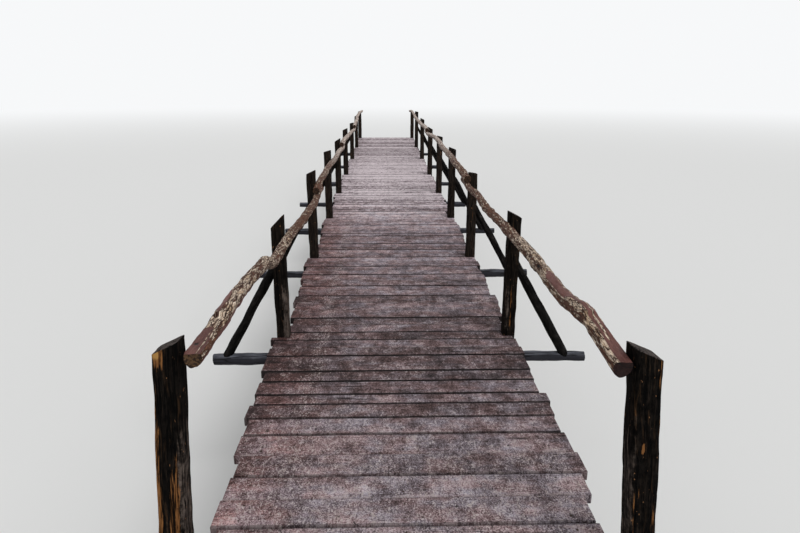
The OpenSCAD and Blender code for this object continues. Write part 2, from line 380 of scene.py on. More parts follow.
def looseParts(name):
    # the separate solids of a CAD node, each as an array of its corners
    bpy.ops.object.select_all(action="DESELECT")
    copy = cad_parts[name].copy()
    copy.data = copy.data.copy()
    copy.parent = None
    scene.collection.objects.link(copy)
    enter(copy)
    bpy.ops.mesh.remove_doubles(threshold=0.00002)   # metres, far below any joint
    bpy.ops.mesh.separate(type="LOOSE")
    leave()
    parts = list(bpy.context.selected_objects)
    found = [points(part.data) for part in parts]
    for part in parts:
        bpy.data.objects.remove(part)
    return found


def rings(corners):
    # ring centres and radii of a rail pole, from the near end
    levels = {}
    for corner in corners:
        levels.setdefault(round(corner[1], 4), []).append(corner)
    found = []
    for y in sorted(levels):
        low, high = endsOf(np.array(levels[y]))
        radius = (high[0] - low[0]) / 2
        found.append((Vector(((low[0] + high[0]) / 2, y, low[2] + radius)), radius))
    return found


def straightLog(length, radius, sides, cuts):
    # a round bar along +Y from the origin, with rings to shape
    log = fresh(bpy.ops.mesh.primitive_cylinder_add, vertices=sides, radius=radius, depth=length,
                end_fill_type="TRIFAN", location=(0, length / 2, 0), rotation=(math.pi / 2, 0, 0))
    settle(log)
    rounds = 1 + cuts // 100   # Blender makes at most 100 cuts at a time
    cutAcross(log, 1, length / 2, cuts // rounds)
    if rounds > 1:
        cutAcross(log, 1, length / cuts * rounds / 2, rounds - 1)
    return log


def grainMap(log):
    # unrolls a straight log: u round it in metres, v along it; the sawn ends lie flat
    mesh = log.data
    place = points(mesh)
    corner = readAll(mesh.loops, "vertex_index", kind=int)
    size = readAll(mesh.polygons, "loop_total", kind=int)
    normal = readAll(mesh.polygons, "normal", 3)
    middle = readAll(mesh.polygons, "center", 3)
    face = np.repeat(np.arange(len(size)), size)
    length = place[:, 1].max() - place[:, 1].min()
    radius = np.abs(place[:, 0]).max()
    fromMiddle = np.abs(middle[:, 1] - place[:, 1].min() - length / 2)
    sawn = (np.abs(normal[:, 1]) > 0.9) & (fromMiddle > length * 0.49)
    at = place[corner]
    base = np.arctan2(middle[face][:, 0], middle[face][:, 2])
    angle = np.arctan2(at[:, 0], at[:, 2]) - base
    angle = (angle + np.pi) % (2 * np.pi) - np.pi + base
    u = np.where(sawn[face], at[:, 0], angle * radius)
    v = np.where(sawn[face], at[:, 2], at[:, 1])
    uvLayer(mesh).data.foreach_set("uv", np.column_stack([u, v]).ravel())
    setMark(log, "endWood", sawn)


def patchMark(log, name, patches, floor=0.0):
    # a mark on a straight log: each patch is (along, half length, turn, half width, amount, corners),
    # the turns in degrees from the top towards +X; corners 1 gives a diamond, 4 nearly a rectangle
    place = points(log.data)
    turn = np.degrees(np.arctan2(place[:, 0], place[:, 2]))
    value = np.full(len(place), float(floor))
    for middle, length, facing, width, amount, corners in patches:
        off = np.abs((turn - facing + 180) % 360 - 180) / width
        off = off ** corners + (np.abs(place[:, 1] - middle) / length) ** corners
        value += (amount - value) * np.clip(3.0 - 2.5 * off, 0, 1)
    setMark(log, name, value, "POINT")


def bendAlong(log, route):
    # bends a straight log along a route of (place, radius), thick and thin as the route says
    bpy.ops.curve.primitive_bezier_curve_add()
    guide = bpy.context.object
    curve = guide.data
    curve.dimensions = "3D"
    curve.twist_mode = "Z_UP"
    curve.resolution_u = 6
    curve.use_stretch = True
    curve.use_deform_bounds = True
    spline = curve.splines[0]
    spline.bezier_points.add(len(route) - 2)
    for point, (place, size) in zip(spline.bezier_points, route):
        point.co = place
        point.radius = size
        point.tilt = math.radians(90)   # keeps the log's top on top
        point.handle_left_type = point.handle_right_type = "AUTO"
    change(log, "CURVE", guide, object=guide, deform_axis="POS_Y")


def joinAll(pieces, name):
    bpy.ops.object.select_all(action="DESELECT")
    for piece in pieces:
        piece.select_set(True)
    bpy.context.view_layer.objects.active = pieces[0]
    if len(pieces) > 1:
        bpy.ops.object.join()
    whole = bpy.context.object
    whole.name = name
    whole.data.name = name
    return whole


def done(piece, material, slot, *nodes, smooth=40):
    piece.data.materials.clear()
    piece.data.materials.append(material)
    only(piece)
    bpy.ops.object.shade_smooth_by_angle(angle=math.radians(smooth))
    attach(piece, "root")
    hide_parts(*nodes)


# Wood finishes


patternStep = {"plank": 61.0, "pole": 47.0}   # moves the pattern on from one plank or pole to the next

deckNail = {
    "row": 0.731,
    "across": 0.27,             # share of a plank's width, from its middle
    "head": 0.006,
    "flat": 0.4,
    "under": 0.0002,
    "sink": 0.001,
    "stray": (0.006, 0.004),
    "tilt": 0.1,
    "turn": 3,
}

deckLook = {
    "ramp": ((0.00, (0.012, 0.009, 0.009)), (0.22, (0.044, 0.029, 0.028)), (0.40, (0.108, 0.076, 0.077)),
             (0.56, (0.208, 0.160, 0.171)), (0.74, (0.375, 0.306, 0.328)), (0.97, (0.720, 0.625, 0.655))),
    "level": 0.455,
    "nearEnd": (-8.95, -7.8),    # where the dusty first boards turn into the rest
    "skyLitPart": (-4.8, -0.7),     # where the boards turn pale: painted light, as if the far boards stood in more light
    # near-black of the joints: painted shade of the gaps, partly dirt
    "gapShadeAndDirt": (0.006, 0.004, 0.004),
    "depth": 0.006,
    "shine": 0.15,
}


def deckWood():
    # one field of light and dark runs through a ramp: grain, scuffs, dirt, the plank's own tone and painted
    # light towards the far end
    wood = Shader("deckWood")
    place = wood.place()
    tone = wood.mark("tone")
    x, y = wood.axis(place, 0), wood.axis(place, 1)
    across = wood.axis(wood.sheet(), 1)
    side, reach = abs(across), abs(x)
    number = tone * patternStep["plank"]
    flat = wood.whole(x, y, number)
    bow = wood.grain(flat, (1.4, 7), 3)
    bent = wood.whole(x, y + (bow - 0.5) * 0.04, number)
    broad = wood.grain(flat, (2.6, 5), 5, 0.65)
    blots = wood.grain(flat, (13, 9), 4, 0.7, move=(1, 6))
    coarse = wood.grain(bent, (3.0, 60), 5, 0.62)
    fine = wood.grain(bent, (14, 230), 4, 0.7, move=(2, 2))
    speck = wood.grain(flat, (85, 46), 4, 0.8, 0.6, move=(5, 1))
    mottle = wood.grain(flat, (22, 6), 4, 0.75, move=(2, 9))
    crumbs = wood.noise(place, 130.0, 3, 0.75)
    near = 1 - wood.step(y, *deckLook["nearEnd"])
    # painted light: far from the camera the boards turn paler and more mottled, as if they stood in more
    # light
    far = wood.step(y, *deckLook["skyLitPart"])
    sides = wood.step(0 - x + (broad - 0.5) * 0.5, 0.30, 0.85)
    light = deckLook["level"] + far * 0.35 + near * 0.12
    for pattern, weight in (
            (coarse, 0.42), (fine, 0.40), (speck, 1.25), (broad, 0.75), (blots, 0.85),
            (tone, 0.15 + far * 0.20), (crumbs, 0.45 + near * 1.4), (mottle, 0.45 + far * 0.85)):
        light = light + (pattern - 0.5) * weight
    # painted light and shade along the deck: lighter from y -7.2 on, darker again past y 1.5
    light = light + wood.step(y, -7.2, -5.0) * 0.12 - wood.step(y, 1.5, 7.0) * 0.10
    light = light - sides * 0.07 - wood.step(reach, 0.70, 0.90) * 0.04
    base = wood.add("ShaderNodeValToRGB", {"stops": deckLook["ramp"]}, {"Fac": light})
    base = wood.blend(sides * (1 - far) * 0.75, base, (1.0, 0.74, 0.68), "MULTIPLY")
    hue = wood.step(wood.grain(flat, (5, 8), 3, 0.6, move=(6, 3)), 0.38, 0.62)
    base = wood.blend(1 - far, base, wood.blend(hue, (1.06, 0.93, 0.90), (0.92, 0.98, 1.04)), "MULTIPLY")

    # pale crumbs and scratches, most of them in the tread
    tread = 1 - wood.step(abs(x + 0.55 + (broad - 0.5) * 0.09), 0.01, 0.09)
    dusty = wood.step(blots * 0.6 + broad * 0.4 + tread * 0.10 + near * 0.10, 0.46, 0.60)
    bits = wood.step(speck * 0.6 + crumbs * 0.4 + dusty * 0.075, 0.600, 0.645)
    base = wood.blend(bits * (0.80 - far * 0.4), base, (0.600, 0.520, 0.510))
    scratch = wood.line(wood.grain(flat, (16, 10), 1, 0.4, move=(9, 4)) - 0.5, 0.006, 0.018)
    scratch = scratch * dusty * wood.step(speck, 0.44, 0.52) * (1 - far)
    base = wood.blend(scratch * 0.55, base, (0.480, 0.400, 0.370))

    # knots, pits, splits and worn edges
    knot = wood.cells(wood.spread(bent, (1.25, 6)))
    isKnot = 1 - wood.step(knot, 0.02, 0.06)
    base = wood.blend((1 - wood.step(knot, 0.05, 0.14)) * 0.5, base, (0.058, 0.038, 0.035))
    base = wood.blend(isKnot * 0.9, base, (0.018, 0.013, 0.012))
    pits = wood.step(wood.grain(flat, (42, 26), 3, 0.7, move=(8, 3)), 0.655, 0.690)
    base = wood.blend(pits * 0.85, base, (0.022, 0.016, 0.015))
    where = wood.step(wood.grain(flat, (1.2, 2.6), 2, move=(3, 5)), 0.56, 0.66)
    crack = wood.line(wood.grain(bent, (0.9, 22), 3, 0.5, move=(7, 0)) - 0.5, 0.003, 0.012)
    crack = crack * wood.maths("MAXIMUM", where, wood.step(reach + broad * 0.2, 0.84, 0.98))
    base = wood.blend(crack * 0.9, base, (0.014, 0.010, 0.010))
    worn = wood.step(0 - across + (coarse - 0.5) * 0.05, 0.400, 0.440)
    worn = worn * wood.step(blots + (speck - 0.5) * 0.6, 0.47, 0.60)
    base = wood.blend(worn * 0.6, base, (0.420, 0.345, 0.340))

    # painted shade of the gaps along the joints, partly dirt, most of it at the open ones
    joint = wood.step(wood.mark("joint"), 0.25, 0.60)
    inward = joint * (0.026 + far * 0.028)
    edge = side + (coarse - 0.5) * 0.02 + (blots - 0.5) * 0.06
    edge = wood.step(edge, 0.466 - inward, 0.476 - inward)
    base = wood.blend(edge * (0.28 + joint * 0.68) * (1 - near * 0.5), base, deckLook["gapShadeAndDirt"])

    # rusty nail heads in their stains; 0.026 is a plank's width squared
    row, down = reach - deckNail["row"], side - deckNail["across"]
    spot = wood.maths("SQRT", row * row + down * down * 0.026)
    stain = 1 - wood.step(spot + (blots - 0.5) * 0.022, 0.002, 0.020)
    stain = stain * wood.step(wood.noise(flat, 9.0, 2), 0.42, 0.58)
    base = wood.blend(stain * 0.8, base, (0.020, 0.016, 0.015))
    rust = wood.blend(wood.noise(place, 300.0, 3), (0.030, 0.020, 0.017), (0.075, 0.042, 0.030))
    base = wood.blend(wood.mark("iron"), base, rust)
    height = coarse * 0.35 + fine * 0.25 + speck * 0.45 + crumbs * 0.20 + bits * 0.15
    height = height - crack * 1.1 - isKnot * 0.2 - pits * 0.4
    rough = 0.62 + speck * 0.16 - coarse * 0.06
    return wood.coat(deckLook, base, rough, height)


def poleSheet(wood):
    # u round the pole and v along it, in metres, both with the pole's own number, and that number
    sheet = wood.sheet()
    u, v = wood.axis(sheet, 0), wood.axis(sheet, 1)
    number = wood.mark("tone") * patternStep["pole"]
    return u, v, wood.whole(u, v, number), number


def growthRings(wood, look, u, v, place):
    # the sawn end of a log: rings round the pith and splits that run out from it
    dark, pale = look["end"]
    wobble = wood.noise(place, 22.0, 3)
    away = wood.maths("SQRT", u * u + v * v) + wobble * 0.006
    ring = wood.maths("SINE", away * (math.tau / look["ringPitch"])) * 0.5 + 0.5
    ray = wood.whole(wood.maths("ARCTAN2", v, u) * 2.2, away * 9.0, wobble)
    split = wood.line(wood.noise(ray, 1.0, 2) - 0.5, 0.006, 0.03)
    face = wood.blend(ring, dark, pale)
    face = wood.blend(wood.step(wood.noise(place, 60.0, 4, 0.7), 0.4, 0.7) * 0.6, face, dark)
    face = wood.blend(split * 0.9, face, (0.010, 0.008, 0.007))
    return face, ring * 0.35 - split


def sawEnds(wood, look, u, v, place, base, height):
    sawn = wood.mark("endWood")
    face, facets = growthRings(wood, look, u, v, place)
    return wood.blend(sawn, base, face), height * (1 - sawn) + facets * sawn


railLook = {
    "wood": ((0.100, 0.036, 0.030), (0.222, 0.098, 0.083)),
    "bark": ((0.056, 0.020, 0.012), (0.270, 0.118, 0.068)),
    "flake": ((0.400, 0.255, 0.165), (0.950, 0.800, 0.640)),
    # colours of the far poles: painted light, paler as if the far end stood in more light
    "skyLitWood": ((0.150, 0.092, 0.078), (0.860, 0.740, 0.660)),
    "skyLitPart": (-5.0, -1.0),     # where the poles turn pale: painted light, as if the far poles stood in more light
    "end": ((0.010, 0.004, 0.004), (0.050, 0.018, 0.016)),
    "paleEnd": ((0.085, 0.042, 0.020), (0.420, 0.260, 0.130)),
    "ringPitch": 0.0036,
    "depth": 0.008,
    "shine": 0.18,
}


def railWood():
    # smooth red-brown wood under bark that has flaked off in pale ribbons
    wood = Shader("railWood")
    u, v, place, number = poleSheet(wood)
    y = wood.axis(wood.place(), 1)
    up = wood.upward()
    bare = wood.mark("bare")
    flaky = wood.mark("flaky")
    bow = wood.grain(place, (14, 5), 3)
    bent = wood.whole(u + (bow - 0.5) * 0.03, v, number)
    ribbons = wood.grain(bent, (62, 9), 4, 0.6, 0.4)
    slivers = wood.grain(bent, (140, 22), 4, 0.65, 0.5, move=(3, 3))
    chopped = wood.whole(u + (slivers - 0.5) * 0.02, v + (ribbons - 0.5) * 0.05, number)
    plates = wood.spread(chopped, (100, 19))
    plate = wood.cells(plates, "Color")
    rift = 1 - wood.step(wood.cells(plates, "Distance", "DISTANCE_TO_EDGE"), 0.02, 0.12)
    grain = wood.grain(bent, (420, 26), 3, 0.6, move=(1, 7))
    broad = wood.grain(place, (11, 2.4), 3, 0.5, move=(1, 8))
    lift = wood.step(flaky, 1.0, 1.5)
    skin = wood.step(bare - lift * 1.4 + (broad - 0.5) * 0.5 + (ribbons - 0.5) * 0.7, 0.40, 0.60)
    field = ribbons * 0.45 + slivers * 0.45 + (plate - 0.5) * 0.13 + 0.05
    field = field + (broad - 0.5) * 0.12 + (flaky - 0.55) * 0.10 - skin * 0.120
    flake = wood.step(field, 0.520, 0.540)
    rim = wood.step(field, 0.470, 0.505) * (1 - flake)
    line = wood.line(slivers - 0.53, 0.006, 0.022)
    far = wood.step(y, *railLook["skyLitPart"])
    thin = slivers * 0.5 + grain * 0.5
    under = wood.blend(wood.step(thin, 0.36, 0.62), *railLook["bark"])
    smooth = wood.blend(wood.step(grain * 0.5 + broad * 0.5, 0.36, 0.62), *railLook["wood"])
    base = wood.blend(skin, under, smooth)
    # painted shade: a dark rim round each pale flake
    base = wood.blend(rim * 0.70 * (1 - skin * 0.6), base, (0.044, 0.018, 0.012))
    cream = wood.blend(wood.step(thin, 0.38, 0.60), *railLook["flake"])
    ochre = wood.step(wood.grain(place, (20, 5), 3, move=(8, 2)), 0.55, 0.68)
    cream = wood.blend(ochre * 0.50, cream, (0.520, 0.310, 0.140))
    base = wood.blend(flake * 0.95, base, cream)
    base = wood.blend(rift * (1 - skin) * flaky * 0.75, base, (0.040, 0.016, 0.011))
    base = wood.blend(line * (1 - skin) * 0.75, base, (0.060, 0.025, 0.016))
    # painted shade: the deepest hollows between the flakes darkened
    shadedHollow = 1 - wood.step(slivers * 0.6 + ribbons * 0.4 + skin * 0.08, 0.370, 0.430)
    base = wood.blend(shadedHollow * 0.85, base, (0.018, 0.009, 0.007))
    # painted light: the far poles turn pale
    skyLitPale = wood.blend(wood.step(field, 0.40, 0.50), *railLook["skyLitWood"])
    base = wood.blend(far * 0.80, base, skyLitPale)
    knot = wood.cells(wood.spread(bent, (11, 2.6), (2, 2)))
    eye = 1 - wood.step(knot, 0.045, 0.085)
    base = wood.blend((1 - wood.step(knot, 0.09, 0.16)) * 0.5, base, (0.060, 0.028, 0.021))
    hole = wood.mark("hole")
    base = wood.blend(wood.maths("MAXIMUM", eye, hole), base, (0.012, 0.007, 0.006))
    # painted shade: the undersides darker, the far ones darker still
    base = wood.blend((1 - wood.step(up, -0.85, 0.05)) * 0.60, base, (0.25, 0.20, 0.18), "MULTIPLY")
    base = wood.blend((1 - wood.step(up, -0.30, 0.60)) * far * 0.70, base, (0.30, 0.25, 0.23), "MULTIPLY")
    sawn = wood.mark("endWood")
    ends = wood.mark("endTone")
    face, facets = growthRings(wood, railLook, u, v, place)
    paleFace = wood.blend(facets, *railLook["paleEnd"])
    chunks = wood.grain(place, (60, 60), 4, 0.7, 0.8, move=(4, 4))
    paleFace = wood.blend((1 - wood.step(chunks, 0.44, 0.53)) * 0.9, paleFace, (0.022, 0.011, 0.008))
    base = wood.blend(sawn, base, wood.blend(ends, face, paleFace))
    height = flake * 0.45 + field * 0.9 + slivers * 0.30 + grain * 0.12
    height = height - shadedHollow * 0.4 - eye * 0.6 - line * 0.25 - rift * 0.2 - hole
    height = height * (1 - skin * 0.5)
    height = height * (1 - sawn) + (facets + chunks * ends * 1.5) * sawn
    rough = 0.60 - skin * 0.14 + flake * 0.16 + slivers * 0.08
    return wood.coat(railLook, base, rough, height)


postLook = {
    "char": ((0.0007, 0.0006, 0.0006), (0.0075, 0.0058, 0.0048)),
    "brown": ((0.0050, 0.0036, 0.0030), (0.036, 0.027, 0.0215)),
    "brownPart": (-8.6, -4.0),   # where the posts turn from charred to brown
    "grey": ((0.018, 0.013, 0.011), (0.150, 0.118, 0.100)),
    "rust": ((0.040, 0.014, 0.005), (0.260, 0.115, 0.040)),
    "end": ((0.060, 0.048, 0.044), (0.165, 0.138, 0.128)),
    "ringPitch": 0.0045,
    "depth": 0.007,
    "shine": 0.04,
}


def postWood():
    # charred dark hardwood; the end posts have lost their skin in orange streaks
    wood = Shader("postWood")
    u, v, place, number = poleSheet(wood)
    y = wood.axis(wood.place(), 1)
    stripped = wood.mark("stripped")
    greyed = wood.mark("greyed")
    bow = wood.grain(place, (12, 3), 3)
    bent = wood.whole(u + (bow - 0.5) * 0.02, v, number)
    grain = wood.grain(bent, (230, 10), 5, 0.68)
    streak = wood.grain(bent, (95, 6), 5, 0.65, move=(4, 0))
    scorch = wood.grain(place, (46, 30), 4, 0.7)
    base = wood.blend(wood.step(scorch, 0.35, 0.70), *postLook["char"])
    base = wood.blend(wood.step(grain, 0.52, 0.66) * 0.6, base, (0.027, 0.019, 0.014))
    base = wood.blend(wood.step(streak, 0.56, 0.66) * 0.5, base, (0.048, 0.026, 0.013))
    brown = wood.blend(wood.step(grain, 0.35, 0.65), *postLook["brown"])
    base = wood.blend(wood.step(y, *postLook["brownPart"]) * 0.8, base, brown)
    pale = wood.blend(wood.step(grain * 0.6 + scorch * 0.4, 0.36, 0.62), *postLook["grey"])
    grey = wood.step(greyed + (streak - 0.5) * 1.2 + (scorch - 0.5) * 0.6, 0.38, 0.80)
    base = wood.blend(grey * 0.85, base, pale)
    skin = wood.step(stripped + (streak - 0.5) * 1.7 + (grain - 0.5) * 0.9, 0.36, 0.56)
    rusty = wood.blend(wood.step(grain * 0.6 + streak * 0.4, 0.36, 0.62), *postLook["rust"])
    ochre = wood.step(stripped + (scorch - 0.5) * 0.6, 0.78, 1.0)
    rusty = wood.blend(ochre * 0.8, rusty, (0.480, 0.270, 0.085))
    flecks = 1 - wood.step(scorch * 0.5 + grain * 0.5, 0.36, 0.45)
    rusty = wood.blend(flecks * 0.8, rusty, (0.008, 0.005, 0.004))
    base = wood.blend(skin * 0.95, base, rusty)
    chips = wood.step(wood.grain(place, (95, 40), 2, 0.6, move=(1, 2)), 0.700, 0.735)
    base = wood.blend(chips * 0.8, base, (0.260, 0.130, 0.060))
    crack = wood.line(wood.grain(bent, (30, 1.3), 3, 0.5, move=(6, 6)) - 0.5, 0.005, 0.022)
    base = wood.blend(crack * 0.9, base, (0.001, 0.001, 0.001))
    height = grain * 0.45 + streak * 0.40 + scorch * 0.30 + skin * 0.15 - crack * 0.9
    base, height = sawEnds(wood, postLook, u, v, place, base, height)
    rough = 0.72 + grain * 0.14 + skin * 0.06
    return wood.coat(postLook, base, rough, height)


braceLook = {"char": ((0.0020, 0.0018, 0.0018), (0.015, 0.013, 0.012)), "depth": 0.006, "shine": 0.04}


def braceWood():
    wood = Shader("braceWood")
    place = poleSheet(wood)[2]
    grain = wood.grain(place, (200, 9), 5, 0.65)
    blotch = wood.grain(place, (30, 12), 5, 0.7, move=(2, 0))
    base = wood.blend(wood.step(blotch, 0.35, 0.70), *braceLook["char"])
    base = wood.blend(wood.step(grain, 0.54, 0.70) * 0.5, base, (0.042, 0.036, 0.033))
    base = wood.blend(wood.step(blotch, 0.60, 0.72) * 0.45, base, (0.070, 0.063, 0.060))
    crack = wood.line(wood.grain(place, (28, 1.5), 3, 0.5, move=(6, 1)) - 0.5, 0.006, 0.024)
    base = wood.blend(crack * 0.9, base, (0.003, 0.003, 0.003))
    height = grain * 0.5 + blotch * 0.45 - crack
    return wood.coat(braceLook, base, 0.66 + grain * 0.1, height)


beamLook = {
    "side": ((0.008, 0.008, 0.011), (0.034, 0.034, 0.043)),
    "top": ((0.040, 0.042, 0.053), (0.170, 0.177, 0.205)),
    "end": ((0.170, 0.150, 0.130), (0.340, 0.310, 0.280)),
    "ringPitch": 0.0036,
    "depth": 0.004,
    "shine": 0.15,
}


def beamWood():
    # dark below, weathered to a bluish grey on top
    wood = Shader("beamWood")
    u, v, place = poleSheet(wood)[:3]
    grain = wood.grain(place, (230, 8), 5, 0.65)
    blotch = wood.grain(place, (24, 8), 5, 0.7, move=(2, 0))
    crack = wood.line(wood.grain(place, (26, 1.4), 3, 0.5, move=(6, 1)) - 0.5, 0.006, 0.026)
    top = wood.step(wood.upward() + (blotch - 0.5) * 0.7, 0.35, 0.85)
    base = wood.blend(blotch, *beamLook["side"])
    base = wood.blend(top * 0.8, base, wood.blend(wood.step(grain, 0.3, 0.7), *beamLook["top"]))
    base = wood.blend(wood.step(grain, 0.30, 0.52) * -0.6 + 0.6, base, (0.020, 0.019, 0.023))
    base = wood.blend(crack * 0.9, base, (0.006, 0.006, 0.007))
    height = grain * 0.5 + blotch * 0.3 - crack
    base, height = sawEnds(wood, beamLook, u, v, place, base, height)
    return wood.coat(beamLook, base, 0.62 + grain * 0.12, height)


pileLook = {
    "wood": ((0.035, 0.027, 0.022), (0.110, 0.088, 0.072)),
    "end": ((0.120, 0.095, 0.075), (0.250, 0.200, 0.155)),
    "waterLine": (0.16, 0.42),
    "ringPitch": 0.005,
    "depth": 0.006,
    "shine": 0.4,
}


def pileWood():
    # bark left on, dark and wet at the foot
    wood = Shader("pileWood")
    u, v, place = poleSheet(wood)[:3]
    z = wood.axis(wood.place(), 2)
    bark = wood.cells(wood.spread(place, (55, 13)), "Distance", "SMOOTH_F1")
    grain = wood.grain(place, (180, 9), 5, 0.65)
    blotch = wood.grain(place, (12, 5), 5, 0.6, move=(2, 0))
    wet = 1 - wood.step(z + (blotch - 0.5) * 0.25, *pileLook["waterLine"])
    base = wood.blend(grain, *pileLook["wood"])
    base = wood.blend(wood.step(blotch, 0.45, 0.70) * 0.6, base, (0.125, 0.115, 0.105))
    base = wood.blend(wood.step(bark, 0.10, 0.55) * -0.5 + 0.5, base, (0.030, 0.022, 0.018))
    base = wood.blend(wet * 0.8, base, (0.012, 0.013, 0.010))
    height = grain * 0.4 + bark * 0.5
    base, height = sawEnds(wood, pileLook, u, v, place, base, height)
    return wood.coat(pileLook, base, 0.74 - wet * 0.30 + grain * 0.1, height)


finishes = {"deck": deckWood(), "rail": railWood(), "post": postWood(), "brace": braceWood(),
            "beam": beamWood(), "pile": pileWood()}
print("wood finishes mixed:", len(finishes))

# Hand rails

railPole = {
    "sides": 44,
    "ringEvery": 0.009,             # twice this behind the first pole of a side
    "lump": (0.07, 0.015, (1, 2.2, 1)),   # size, depth, stretch
    "flake": (0.016, 0.007, (1, 5.0, 1)),
    "hewnLength": 0.36,
    "hewnLevel": 0.58,              # share of the radius
    "hewnRest": 0.05,
    # patches as patchMark takes them; bare is smooth wood
    "bare": {
        "left1": [(0.0, 0.25, -12, 60, 1.2, 3), (0.50, 0.19, -36, 34, 1.1, 2), (0.40, 0.5, 118, 30, 0.8, 2),
                  (1.95, 0.35, 60, 60, 0.5, 2), (3.3, 1.6, 0, 250, 0.34, 4)],
        "right1": [(0.0, 0.36, 24, 74, 1.3, 1), (0.45, 0.35, 12, 34, 0.75, 2), (0.82, 0.24, -12, 55, 0.8, 2),
                   (3.0, 1.3, 0, 250, 0.36, 4)],
    },
    "flaky": {
        "left1": [(0.85, 0.72, 30, 250, 0.68, 4), (0.32, 0.08, -40, 34, 1.7, 2),
                  (0.76, 0.11, -42, 34, 1.7, 2), (0.36, 0.25, 40, 18, 1.35, 2), (0.10, 0.14, 18, 7, 1.6, 2),
                  (1.46, 0.13, 20, 250, 1.0, 4), (2.0, 0.4, 40, 250, 0.66, 4)],
        "right1": [(0.25, 0.9, -60, 80, 0.50, 4), (0.16, 0.50, -38, 22, 1.5, 2), (0.40, 0.26, 12, 10, 1.7, 2),
                   (0.95, 0.5, -58, 7, 1.8, 2), (0.95, 0.45, 24, 8, 1.6, 2), (1.38, 0.42, -10, 250, 0.90, 4)],
    },
    "flakyFloor": 0.35,
    "hole": {"left1": [(0.085, 0.012, -24, 15, 1.0, 2)]},
    "endTone": {"left1": 1.0, "right1": 0.0, "others": 0.45},
}


def makeRail(side, index):
    rail = "%s%d" % (side, index)
    route = rings(looseParts("rail_%s_%d" % (side, index))[0])
    length = sum((route[i + 1][0] - route[i][0]).length for i in range(len(route) - 1))
    mean = sum(radius for place, radius in route) / len(route)
    ringEvery = railPole["ringEvery"] * (1 if index == 1 else 2)
    log = straightLog(length, mean, railPole["sides"], int(length / ringEvery))
    grainMap(log)
    dice = random.Random(index * 7 + len(side))
    move = anywhere(dice)
    relief(log, *railPole["lump"], move)
    relief(log, *railPole["flake"], move, noise_depth=1)
    patchMark(log, "bare", railPole["bare"].get(rail, []))
    patchMark(log, "flaky", railPole["flaky"].get(rail, []), railPole["flakyFloor"])
    patchMark(log, "hole", railPole["hole"].get(rail, []))
    setMark(log, "endTone", railPole["endTone"].get(rail, railPole["endTone"]["others"]))
    if index == 1:
        level = mean * railPole["hewnLevel"]
        squash(log, lambda mesh, v: v.co.z > level and v.co.y < railPole["hewnLength"], 2, level,
               railPole["hewnRest"])
    bendAlong(log, [(place, radius / mean) for place, radius in route])
    setMark(log, "tone", dice.random())
    log.name = "rail%s%d" % (side.capitalize(), index)
    return log


for side, count in (("left", 4), ("right", 3)):
    for index in range(1, count + 1):
        done(makeRail(side, index), finishes["rail"], "rail_wood", "rail_%s_%d" % (side, index))
print("hand rails made")

# Posts

hewnPost = {
    "arris": 0.012,
    "deckLevel": 1.3,
    "room": 0.006,
    "headPart": 0.2,      # from the top down and the foot up: where a CAD post is measured
    "footPart": 0.03,
    "spare": 0.03,        # cut off again with the slanted top
    "backFall": 0.25,     # share of the CAD top's fall to the back
    "crown": 0.004,
    "taper": {"post1left": 0.90, "post1right": 0.96, "others": 0.98},
    # across in half widths, down from the top, half width, half length, amount
    "stripped": {
        "post1left": [(-0.70, 0.05, 0.62, 0.10, 1.0), (0.35, 0.86, 0.60, 0.46, 0.66),
                      (-0.85, 0.66, 0.32, 0.60, 0.60)],
        "post1right": [(0.66, 0.12, 0.16, 0.12, 0.56), (0.92, 0.36, 0.14, 0.08, 0.75),
                       (-0.62, 0.78, 0.22, 0.26, 0.50), (0.70, 0.72, 0.2, 0.2, 0.42),
                       (-0.25, 0.43, 0.12, 0.03, 0.8)],
        "post2right": [(0.0, 0.75, 0.16, 0.25, 0.55)],
        "others": [(0.3, 0.5, 0.4, 0.4, 0.18)],
    },
    "greyed": {
        "post1left": [(0.9, 0.75, 0.5, 0.55, 0.7), (-0.2, 0.9, 1.5, 0.3, 0.25)],
        "post1right": [(-0.95, 0.7, 0.30, 0.55, 0.55)],
        "post2left": [(0.7, 0.8, 0.7, 0.35, 0.9)],
        "post2right": [(-0.6, 0.75, 0.6, 0.3, 0.55), (1.0, 0.04, 1.2, 0.03, 0.9)],
        "others": [(0.0, 0.85, 1.4, 0.3, 0.30)],
    },
    "rowEvery": 0.022,
    "faceCuts": 5,
    "wave": (0.08, 0.014, (1, 3.5, 1)),   # size, depth, stretch
    "adze": (0.02, 0.006, (1, 5, 1)),
    "middle": 0.38,
    "rim": 0.004,
    "pith": (0.008, -0.011),
}


def postLine(corners):
    # middle of the foot and of the head, and how wide the post is
    low, high = endsOf(corners)
    parts = (corners[corners[:, 2] < low[2] + hewnPost["footPart"]],
             corners[corners[:, 2] > high[2] - hewnPost["headPart"]])
    foot, head = (Vector(sum(endsOf(part)) / 2) for part in parts)
    return foot, head, high[1] - low[1]


def markPost(post, name, patches, height, side):
    # soft patches on the front and part of the sides
    place = points(post.data)
    out = place[:, 0] / side * 2
    down = height - place[:, 1]
    front = place[:, 2] > -side * 0.3
    value = np.zeros(len(place))
    for across, below, width, length, amount in patches:
        off = np.maximum(np.abs(out - across) / width, np.abs(down - below) / length)
        value = np.maximum(value, np.clip(1.7 - 1.7 * off, 0, 1) * front * amount)
    setMark(post, name, value, "POINT")


